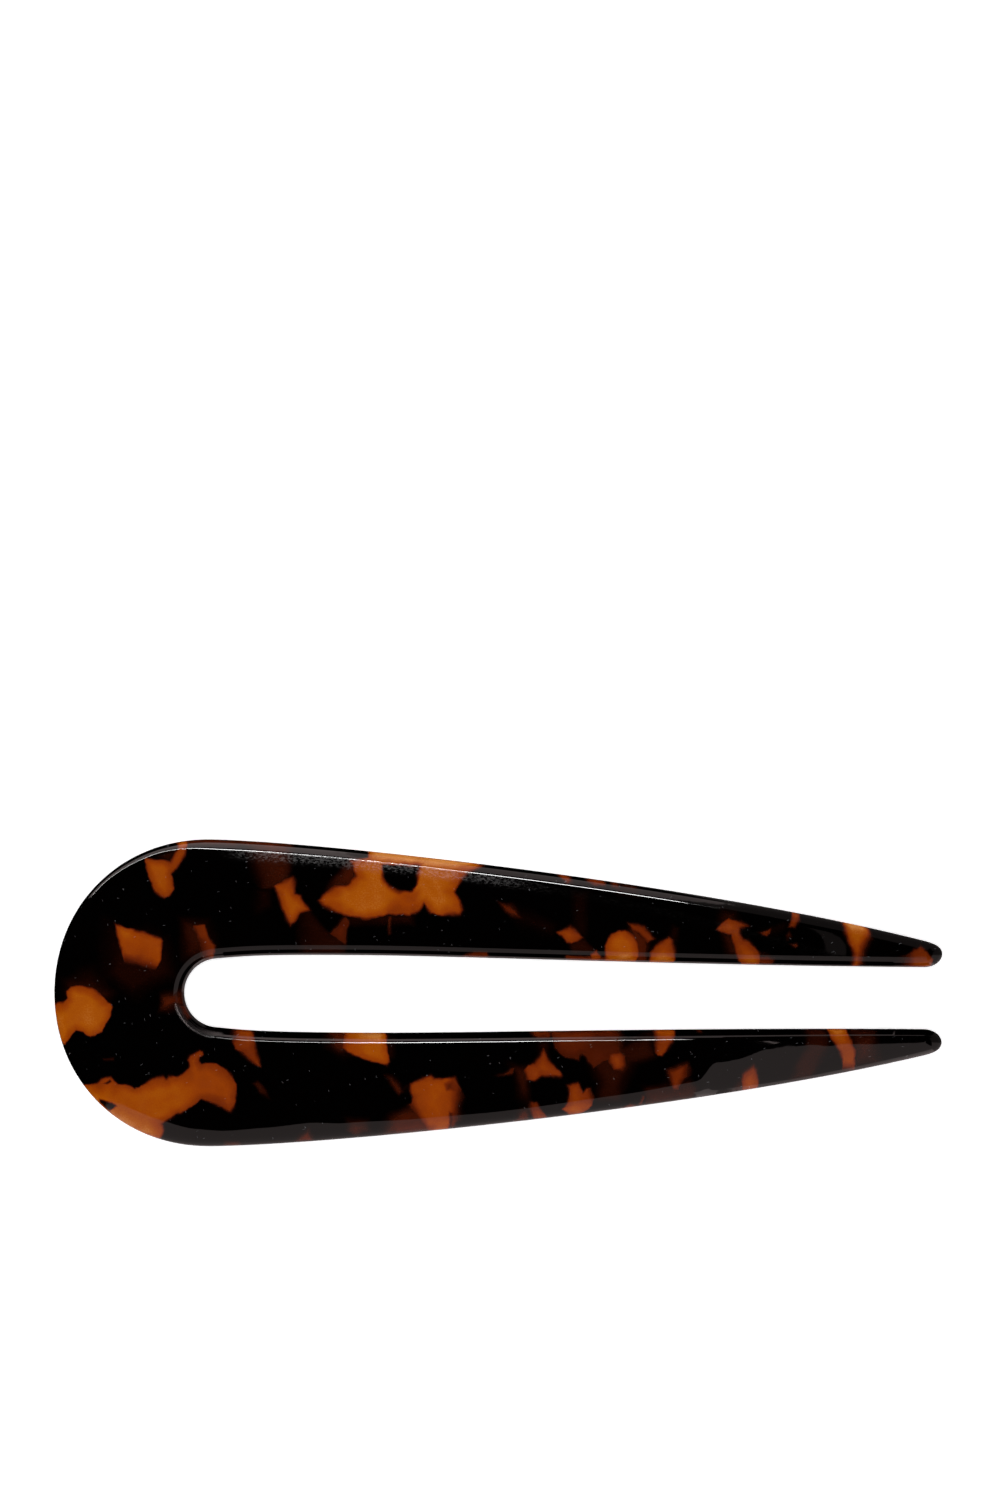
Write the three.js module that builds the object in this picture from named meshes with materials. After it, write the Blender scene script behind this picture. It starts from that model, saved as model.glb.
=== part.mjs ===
// A flat U-shaped hair pin in polished tortoiseshell acetate: a round crown, and two long prongs
// that taper to bullet tips with a slot between them. It is one solid, cut from sheet, with its
// edges rounded over on both faces.
//
// Millimetres. The pin lies on its back face at z = 0, crown towards -X, tips towards +X, and the
// origin is under the middle of its box. Places called "along" are measured from the crown's end.

import * as THREE from 'three';

// Driving dimensions
const LENGTH = 125;
const WIDTH = 43.2;
const THICKNESS = 4;
const TIP_THICKNESS = 2.9;

// Outer edge: a crown a little squarer than a circle, then a long gently curving side
const CROWN_RADIUS = WIDTH / 2;
const CROWN_FULLNESS = 0.57;
const SIDE_START_HANDLE = 14;
const SIDE_END_HANDLE = 32;
const SIDE_END_SLOPE = 0.245;

// Slot: a round end, widest part-way along, then narrowing slightly towards the tips
const SLOT_END_ALONG = 18.28;
const SLOT_END_RADIUS = 4.85;
const SLOT_END_SWEEP = THREE.MathUtils.degToRad(84.5);
const SLOT_WIDEST_ALONG = 43;
const SLOT_WIDEST_HALF = 5.46;
const SLOT_TIP_HALF = 4.36;
const SLOT_HANDLES = [5, 13, 14.6, 34.3];

// Tips: where the bullet end starts, and how far each edge lies from the centreline there
const TIP_LENGTH = 2.6;
const TIP_START_ALONG = LENGTH - TIP_LENGTH;
const TIP_OUTER_HALF = 8.1;
const TIP_POINT_HALF = 6.24;
const TIP_FULLNESS = 0.56;

// Rounded edges: their width across the face, and where the outer one widens into a soft crest
const SLOT_EDGE_ROUND = 1.7;
const OUTER_EDGE_ROUND = 2;
const CREST_START_ALONG = 82;
const CREST_END_ALONG = 108;
const CREST_SHARE = 0.64;

// Mesh fineness
const CROWN_STEPS = 14;
const PRONG_STEPS = 24;
const TIP_STEPS = 5;
const ROUND_STEPS = 10;

function bezier(...points) {
  return new THREE.CubicBezierCurve(...points.map(([x, y]) => new THREE.Vector2(x, y)));
}

const crownEdge = bezier(
  [0, 0],
  [0, CROWN_RADIUS * CROWN_FULLNESS],
  [CROWN_RADIUS * (1 - CROWN_FULLNESS), CROWN_RADIUS],
  [CROWN_RADIUS, CROWN_RADIUS],
);

const sideEdge = bezier(
  [CROWN_RADIUS, CROWN_RADIUS],
  [CROWN_RADIUS + SIDE_START_HANDLE, CROWN_RADIUS],
  [TIP_START_ALONG - SIDE_END_HANDLE, TIP_OUTER_HALF + SIDE_END_HANDLE * SIDE_END_SLOPE],
  [TIP_START_ALONG, TIP_OUTER_HALF],
);

const slotEnd = new THREE.EllipseCurve(
  SLOT_END_ALONG + SLOT_END_RADIUS, 0,
  SLOT_END_RADIUS, SLOT_END_RADIUS,
  Math.PI, Math.PI - SLOT_END_SWEEP, true,
);

// The slot's side leaves its round end along that circle's tangent.
function slotSide() {
  const start = slotEnd.getPoint(1);
  const leave = slotEnd.getTangent(1);
  const widening = bezier(
    [start.x, start.y],
    [start.x + SLOT_HANDLES[0] * leave.x, start.y + SLOT_HANDLES[0] * leave.y],
    [SLOT_WIDEST_ALONG - SLOT_HANDLES[1], SLOT_WIDEST_HALF],
    [SLOT_WIDEST_ALONG, SLOT_WIDEST_HALF],
  );
  const narrowing = bezier(
    [SLOT_WIDEST_ALONG, SLOT_WIDEST_HALF],
    [SLOT_WIDEST_ALONG + SLOT_HANDLES[2], SLOT_WIDEST_HALF],
    [TIP_START_ALONG - SLOT_HANDLES[3], SLOT_TIP_HALF],
    [TIP_START_ALONG, SLOT_TIP_HALF],
  );
  return [widening, narrowing];
}

// A quarter of the tip's outline, from where the bullet end starts to its point.
function tipEdge(startHalf, slope) {
  const reach = TIP_LENGTH * TIP_FULLNESS;
  const rise = (TIP_POINT_HALF - startHalf) * TIP_FULLNESS;
  return bezier(
    [TIP_START_ALONG, startHalf],
    [TIP_START_ALONG + reach, startHalf - slope * reach],
    [LENGTH, TIP_POINT_HALF - rise],
    [LENGTH, TIP_POINT_HALF],
  );
}

const slotEdge = slotSide();
const tipOuter = tipEdge(TIP_OUTER_HALF, SIDE_END_SLOPE);
const tipInner = tipEdge(SLOT_TIP_HALF, 0);

// The point of a curve that runs towards +X where it reaches the place `along`.
function pointAt(curve, along) {
  let low = 0;
  let high = 1;
  for (let step = 0; step < 40; step += 1) {
    const middle = (low + high) / 2;
    if (curve.getPoint(middle).x < along) {
      low = middle;
    } else {
      high = middle;
    }
  }
  return curve.getPoint(high);
}

function slotPointAt(along) {
  const [widening, narrowing] = slotEdge;
  return pointAt(along < SLOT_WIDEST_ALONG ? widening : narrowing, along);
}

// Half the thickness: full up to the crest, then thinning evenly towards the tips.
function halfThickness(along) {
  const thinned = THREE.MathUtils.smoothstep(along, CREST_START_ALONG, LENGTH);
  return THREE.MathUtils.lerp(THICKNESS, TIP_THICKNESS, thinned) / 2;
}

// One cross-section: its inner and outer edge points, half its thickness and its rounded widths.
function section(inner, outer, bluntness = 1) {
  const width = inner.distanceTo(outer);
  const crest = THREE.MathUtils.smoothstep(outer.x, CREST_START_ALONG, CREST_END_ALONG);
  const innerRound = Math.min(SLOT_EDGE_ROUND, width / 2);
  const outerRound = THREE.MathUtils.lerp(OUTER_EDGE_ROUND, width * CREST_SHARE, crest);
  return {
    inner,
    outer,
    half: halfThickness(outer.x) * bluntness,
    innerRound,
    outerRound: Math.min(outerRound, width - innerRound),
  };
}

// Cross-sections of one half of the pin, from the middle of the crown to just before the tip.
function halfSections() {
  const sections = [];
  for (let step = 0; step < CROWN_STEPS; step += 1) {
    const share = step / CROWN_STEPS;
    sections.push(section(slotEnd.getPoint(share), crownEdge.getPoint(share)));
  }
  const slotStart = slotEnd.getPoint(1).x;
  for (let step = 0; step < PRONG_STEPS; step += 1) {
    const share = step / PRONG_STEPS;
    const innerAlong = THREE.MathUtils.lerp(slotStart, TIP_START_ALONG, share);
    const outerAlong = THREE.MathUtils.lerp(CROWN_RADIUS, TIP_START_ALONG, share);
    sections.push(section(slotPointAt(innerAlong), pointAt(sideEdge, outerAlong)));
  }
  for (let step = 0; step < TIP_STEPS; step += 1) {
    const share = step / TIP_STEPS;
    const inner = tipInner.getPoint(share);
    const outer = tipOuter.getPoint(share);
    const reach = ((inner.x + outer.x) / 2 - TIP_START_ALONG) / TIP_LENGTH;
    sections.push(section(inner, outer, Math.sqrt(1 - reach * reach)));
  }
  return sections;
}

// The ring of points round a section: down over the outer edge, then up over the inner edge.
function ring({ inner, outer, half, innerRound, outerRound }, side) {
  const across = outer.clone().sub(inner).normalize();
  const points = [];
  for (let step = 0; step <= ROUND_STEPS; step += 1) {
    const angle = Math.PI * (0.5 - step / ROUND_STEPS);
    const place = outer.clone().addScaledVector(across, outerRound * (Math.cos(angle) - 1));
    points.push([place.x, side * place.y, half * Math.sin(angle)]);
  }
  for (let step = 0; step <= ROUND_STEPS; step += 1) {
    const angle = Math.PI * (step / ROUND_STEPS - 0.5);
    const place = inner.clone().addScaledVector(across, innerRound * (1 - Math.cos(angle)));
    points.push([place.x, side * place.y, half * Math.sin(angle)]);
  }
  return points;
}

function inPinFrame([x, y, z]) {
  return [x - LENGTH / 2, y, z + THICKNESS / 2];
}

function pinGeometry() {
  const sections = halfSections();
  const upper = sections.map((part) => ring(part, 1));
  const lower = sections.slice(1).map((part) => ring(part, -1));
  const rings = [...lower.reverse(), ...upper];
  const tips = [[LENGTH, -TIP_POINT_HALF, 0], [LENGTH, TIP_POINT_HALF, 0]];
  const positions = [...rings.flat(), ...tips].map(inPinFrame).flat();

  const count = rings[0].length;
  const lastRing = (rings.length - 1) * count;
  const lowerTip = rings.length * count;
  const indices = [];
  for (let point = 0; point < count; point += 1) {
    const next = (point + 1) % count;
    indices.push(lowerTip, point, next);
    for (let start = 0; start < lastRing; start += count) {
      const [a, b] = [start + point, start + next];
      const [c, d] = [a + count, b + count];
      indices.push(a, c, b, b, c, d);
    }
    indices.push(lowerTip + 1, lastRing + next, lastRing + point);
  }

  const geometry = new THREE.BufferGeometry();
  geometry.setAttribute('position', new THREE.Float32BufferAttribute(positions, 3));
  geometry.setIndex(indices);
  geometry.computeVertexNormals();
  return geometry;
}

const acetate = new THREE.MeshStandardMaterial({ color: 0x2c0f05, roughness: 0.08, metalness: 0 });
const hairPin = new THREE.Mesh(pinGeometry(), acetate);
hairPin.name = 'hair_pin';

const model = new THREE.Group();
model.add(hairPin);

export default model;
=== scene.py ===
import math

import bpy
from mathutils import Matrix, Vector


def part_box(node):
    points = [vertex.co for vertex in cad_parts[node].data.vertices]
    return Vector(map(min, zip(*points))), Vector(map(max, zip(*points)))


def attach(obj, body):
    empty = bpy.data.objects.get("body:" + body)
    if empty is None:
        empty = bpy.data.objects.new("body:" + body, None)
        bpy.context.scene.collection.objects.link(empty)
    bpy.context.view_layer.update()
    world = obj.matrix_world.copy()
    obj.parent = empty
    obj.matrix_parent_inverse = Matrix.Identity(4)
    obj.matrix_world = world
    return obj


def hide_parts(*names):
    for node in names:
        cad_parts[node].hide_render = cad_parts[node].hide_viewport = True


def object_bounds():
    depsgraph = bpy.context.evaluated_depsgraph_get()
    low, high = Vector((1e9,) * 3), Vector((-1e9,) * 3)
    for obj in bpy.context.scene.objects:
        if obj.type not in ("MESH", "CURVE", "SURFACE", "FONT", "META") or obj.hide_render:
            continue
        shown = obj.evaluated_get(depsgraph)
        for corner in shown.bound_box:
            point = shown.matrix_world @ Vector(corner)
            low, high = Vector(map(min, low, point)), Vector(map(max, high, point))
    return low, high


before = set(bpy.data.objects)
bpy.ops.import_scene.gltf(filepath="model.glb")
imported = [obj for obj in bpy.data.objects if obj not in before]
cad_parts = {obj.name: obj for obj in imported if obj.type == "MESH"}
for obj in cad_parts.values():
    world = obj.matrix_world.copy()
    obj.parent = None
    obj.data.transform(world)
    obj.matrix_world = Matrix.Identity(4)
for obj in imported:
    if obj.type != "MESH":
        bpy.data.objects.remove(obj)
cad_low, cad_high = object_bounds()

# The pin's own places are in its millimetres: "along" from the crown's end, "across" from the
# centreline, and "up" from the back face.
LENGTH = 125
WIDTH = 43.2
THICKNESS = 4
TIP_THICKNESS = 2.9

low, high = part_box("hair_pin")
MM = (high.x - low.x) / LENGTH
ORIGIN = Vector((low.x, (low.y + high.y) / 2, low.z))

# Outline
CROWN_RADIUS = WIDTH / 2
CROWN_FULLNESS = 0.57
SIDE_HANDLES = (14, 32)
SIDE_END_SLOPE = 0.245
SLOT_END_ALONG = 18.28
SLOT_END_RADIUS = 4.85
SLOT_END_SWEEP = math.radians(84.5)
SLOT_WIDEST_ALONG = 43
SLOT_WIDEST_HALF = 5.46
SLOT_TIP_HALF = 4.36
SLOT_HANDLES = (5, 13, 14.6, 34.3)
TIP_LENGTH = 2.6
TIP_START_ALONG = LENGTH - TIP_LENGTH
TIP_OUTER_HALF = 8.1
TIP_POINT_HALF = 6.24
TIP_FULLNESS = 0.56

# Rounded edges: how wide each is, along the pin. The hand finishing left the lower one wavy.
SLOT_EDGE_ROUND = 1.6
UPPER_EDGE_ROUND = [
    (0, 1.3), (6, 0.7), (13, 0.9), (24, 1.6), (98, 1.6), (112, 1.8), (125, 2.2),
]
LOWER_EDGE_ROUND = [
    (0, 1.6), (8, 2.6), (15, 3), (20, 2.75), (24, 2.5), (30, 2.75), (36, 3.1), (41, 2.6),
    (52, 2.2), (63, 2), (80, 2.3), (90.6, 2.7), (93.2, 5.1), (96, 5.1), (101, 6), (105, 6),
    (110, 4.6), (118, 3.4), (125, 3.2),
]
NARROWEST_FACE = 0.02
ELLIPTICAL = 2
FULLER = 1.72
FULLER_START_WIDTH = 2.9
THIN_START_ALONG = 82

# Acetate: how its chips lean with depth and which way, how far their outlines wander, how rough
# its surface is where it was polished, smudged, left hazy or left sanded, and its dust
CHIP_LEAN = 0.11
CHIP_LEAN_WAY = (1, -0.7, 0)
CHIP_WANDER = (0.5, 0.5, 0)
ACETATE_IOR = 1.49
POLISHED = 0.03
SMUDGED = 0.08
HAZY = 0.52
SANDED = 0.42
WAVE_HEIGHT = 0.02
DUST_COLOUR = (0.3, 0.31, 0.33, 1)
DUST_BEND = (0.5, 0.5, 0)
MOST_DUST = 0.24
SPECK_STRETCH = 3

# The haze's outer edge: a place on it, and how it slopes and bends away from there
HAZE_EDGE_ALONG = 30
HAZE_EDGE_ACROSS = 20.15
HAZE_EDGE_SLOPE = -0.05
HAZE_EDGE_BEND = -0.0015

# Studio, in metres, and the tint of its cards
FLOOR_RADIUS = 0.9
WALL_CURVE = 0.5
FLOOR_GREY = (0.86, 0.86, 0.86)
CARD_TINT = (1, 0.84, 0.82)

# Camera: its lens in millimetres, and its place over the middle of the pin
LENS = 100
CAMERA_ACROSS = 34.5
CAMERA_UP = 586.9
CAMERA_TURN = math.radians(0.43)

# Mesh fineness
CROWN_STEPS = 90
PRONG_STEPS = 170
TIP_STEPS = 22
ROUND_STEPS = 36
FACE_SHARES = (0.004, 0.25, 0.5, 0.75, 0.996)


def srgb(*channels):
    return [((c / 255 + 0.055) / 1.055) ** 2.4 if c > 10 else c / 255 / 12.92 for c in channels]


# The acetate's colours, from the clear near-black ground to the lightest amber
ACETATE_COLOURS = [
    (0, srgb(1, 0.5, 0.5)),
    (0.08, srgb(18, 3, 1)),
    (0.18, srgb(43, 12, 3)),
    (0.32, srgb(80, 24, 4)),
    (0.48, srgb(118, 42, 6)),
    (0.64, srgb(148, 61, 4)),
    (0.8, srgb(168, 82, 5)),
    (1, srgb(206, 132, 64)),
]


def lerp(a, b, share):
    return a + (b - a) * share


def smooth(share):
    share = min(max(share, 0), 1)
    return share * share * (3 - 2 * share)


# A value that passes smoothly through each (place, value) of a list.
def eased(knots, place):
    for (a, start), (b, end) in zip(knots, knots[1:]):
        if place <= b:
            return lerp(start, end, smooth((place - a) / (b - a)))
    return knots[-1][1]


def bezier(points, t):
    a, b, c, d = (Vector(point) for point in points)
    s = 1 - t
    return a * s ** 3 + b * 3 * s * s * t + c * 3 * s * t * t + d * t ** 3


def point_at(points, along):
    start, end = 0, 1
    for _ in range(40):
        middle = (start + end) / 2
        if bezier(points, middle).x < along:
            start = middle
        else:
            end = middle
    return bezier(points, end)


CROWN_EDGE = [
    (0, 0),
    (0, CROWN_RADIUS * CROWN_FULLNESS),
    (CROWN_RADIUS * (1 - CROWN_FULLNESS), CROWN_RADIUS),
    (CROWN_RADIUS, CROWN_RADIUS),
]
SIDE_EDGE = [
    (CROWN_RADIUS, CROWN_RADIUS),
    (CROWN_RADIUS + SIDE_HANDLES[0], CROWN_RADIUS),
    (TIP_START_ALONG - SIDE_HANDLES[1], TIP_OUTER_HALF + SIDE_HANDLES[1] * SIDE_END_SLOPE),
    (TIP_START_ALONG, TIP_OUTER_HALF),
]


def slot_end(share):
    angle = math.pi - SLOT_END_SWEEP * share
    centre = SLOT_END_ALONG + SLOT_END_RADIUS
    return Vector((centre + SLOT_END_RADIUS * math.cos(angle), SLOT_END_RADIUS * math.sin(angle)))


SLOT_START = slot_end(1)
SLOT_LEAVE = Vector((math.sin(math.pi - SLOT_END_SWEEP), -math.cos(math.pi - SLOT_END_SWEEP)))
SLOT_WIDENING = [
    SLOT_START,
    SLOT_START + SLOT_HANDLES[0] * SLOT_LEAVE,
    (SLOT_WIDEST_ALONG - SLOT_HANDLES[1], SLOT_WIDEST_HALF),
    (SLOT_WIDEST_ALONG, SLOT_WIDEST_HALF),
]
SLOT_NARROWING = [
    (SLOT_WIDEST_ALONG, SLOT_WIDEST_HALF),
    (SLOT_WIDEST_ALONG + SLOT_HANDLES[2], SLOT_WIDEST_HALF),
    (TIP_START_ALONG - SLOT_HANDLES[3], SLOT_TIP_HALF),
    (TIP_START_ALONG, SLOT_TIP_HALF),
]


def slot_point_at(along):
    side = SLOT_WIDENING if along < SLOT_WIDEST_ALONG else SLOT_NARROWING
    return point_at(side, along)


def tip_edge(start_half, slope):
    reach = TIP_LENGTH * TIP_FULLNESS
    rise = (TIP_POINT_HALF - start_half) * TIP_FULLNESS
    return [
        (TIP_START_ALONG, start_half),
        (TIP_START_ALONG + reach, start_half - slope * reach),
        (LENGTH, TIP_POINT_HALF - rise),
        (LENGTH, TIP_POINT_HALF),
    ]


TIP_OUTER = tip_edge(TIP_OUTER_HALF, SIDE_END_SLOPE)
TIP_INNER = tip_edge(SLOT_TIP_HALF, 0)


# One half's cross-sections: inner edge point, outer edge point, and how blunt the tip makes it.
def half_sections():
    sections = []
    for step in range(CROWN_STEPS):
        share = step / CROWN_STEPS
        sections.append((slot_end(share), bezier(CROWN_EDGE, share), 1))
    for step in range(PRONG_STEPS):
        share = step / PRONG_STEPS
        inner = slot_point_at(lerp(SLOT_START.x, TIP_START_ALONG, share))
        outer = point_at(SIDE_EDGE, lerp(CROWN_RADIUS, TIP_START_ALONG, share))
        sections.append((inner, outer, 1))
    for step in range(TIP_STEPS):
        share = step / TIP_STEPS
        inner, outer = bezier(TIP_INNER, share), bezier(TIP_OUTER, share)
        reach = ((inner.x + outer.x) / 2 - TIP_START_ALONG) / TIP_LENGTH
        sections.append((inner, outer, math.sqrt(1 - reach * reach)))
    return sections


def new_mesh(name, points, faces):
    mesh = bpy.data.meshes.new(name)
    mesh.from_pydata(points, [], faces)
    return mesh


def new_object(name, data):
    thing = bpy.data.objects.new(name, data)
    bpy.context.scene.collection.objects.link(thing)
    return thing


# Half a rounded edge from the front face to the back, as (share of its width, height), at
# places where its surface turns by equal angles. Narrow ones are elliptical, and wide ones fuller
# in the middle, so they meet the faces in a visible line.
def round_profile(width, half):
    power = lerp(ELLIPTICAL, FULLER, smooth((width - FULLER_START_WIDTH) / 2))
    dual = power / (power - 1)
    places = []
    for step in range(ROUND_STEPS + 1):
        tilt = math.pi * (0.5 - step / ROUND_STEPS)
        out, up = math.cos(tilt) * width, abs(math.sin(tilt)) * half
        size = (out ** dual + up ** dual) ** (1 / dual)
        height = math.copysign(half * (up / size) ** (dual - 1), tilt)
        places.append(((out / size) ** (dual - 1), height))
    return places


# The closed ring of points round one section: over the outer edge, across the back, over the
# inner edge and across the front.
def section_ring(section, side):
    inner, outer, bluntness = section
    width = (outer - inner).length
    across = (outer - inner) / width
    thickness = lerp(THICKNESS, TIP_THICKNESS, smooth(
        (outer.x - THIN_START_ALONG) / (LENGTH - THIN_START_ALONG)))
    half = thickness / 2 * bluntness
    inner_round = min(SLOT_EDGE_ROUND, width / 2)
    knots = UPPER_EDGE_ROUND if side > 0 else LOWER_EDGE_ROUND
    outer_round = min(eased(knots, outer.x), width - inner_round - NARROWEST_FACE)
    ring = []
    for share, height in round_profile(outer_round, half):
        ring.append((outer + across * outer_round * (share - 1), height))
    for share in FACE_SHARES:
        reach = lerp(width - outer_round, inner_round, share)
        ring.append((inner + across * reach, -half))
    for share, height in reversed(round_profile(inner_round, half)):
        ring.append((inner + across * inner_round * (1 - share), height))
    for share in FACE_SHARES:
        reach = lerp(inner_round, width - outer_round, share)
        ring.append((inner + across * reach, half))
    return [ORIGIN + MM * Vector((place.x, side * place.y, THICKNESS / 2 + height))
            for place, height in ring]


# The faces between rings of points, which follow each other in one list.
def ring_faces(rings, count):
    faces = []
    for start in range(0, (rings - 1) * count, count):
        for place in range(count):
            a, b = start + place, start + (place + 1) % count
            faces.append((a, a + count, b + count, b))
    return faces


def pin_mesh():
    sections = half_sections()
    rings = [section_ring(section, -1) for section in reversed(sections[1:])]
    rings += [section_ring(section, 1) for section in sections]
    points = [point for ring in rings for point in ring]
    count = len(rings[0])
    faces = ring_faces(len(rings), count)
    ends = [(-1, range(count)), (1, range(len(points) - count, len(points)))]
    for side, ring in ends:
        tip = len(points)
        points.append(ORIGIN + MM * Vector((LENGTH, side * TIP_POINT_HALF, THICKNESS / 2)))
        turned = list(ring) if side < 0 else list(reversed(ring))
        for a, b in zip(turned, turned[1:] + turned[:1]):
            faces.append((tip, a, b))
    mesh = new_mesh("tortoiseshell_pin", points, faces)
    mesh.shade_smooth()
    return mesh


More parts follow.
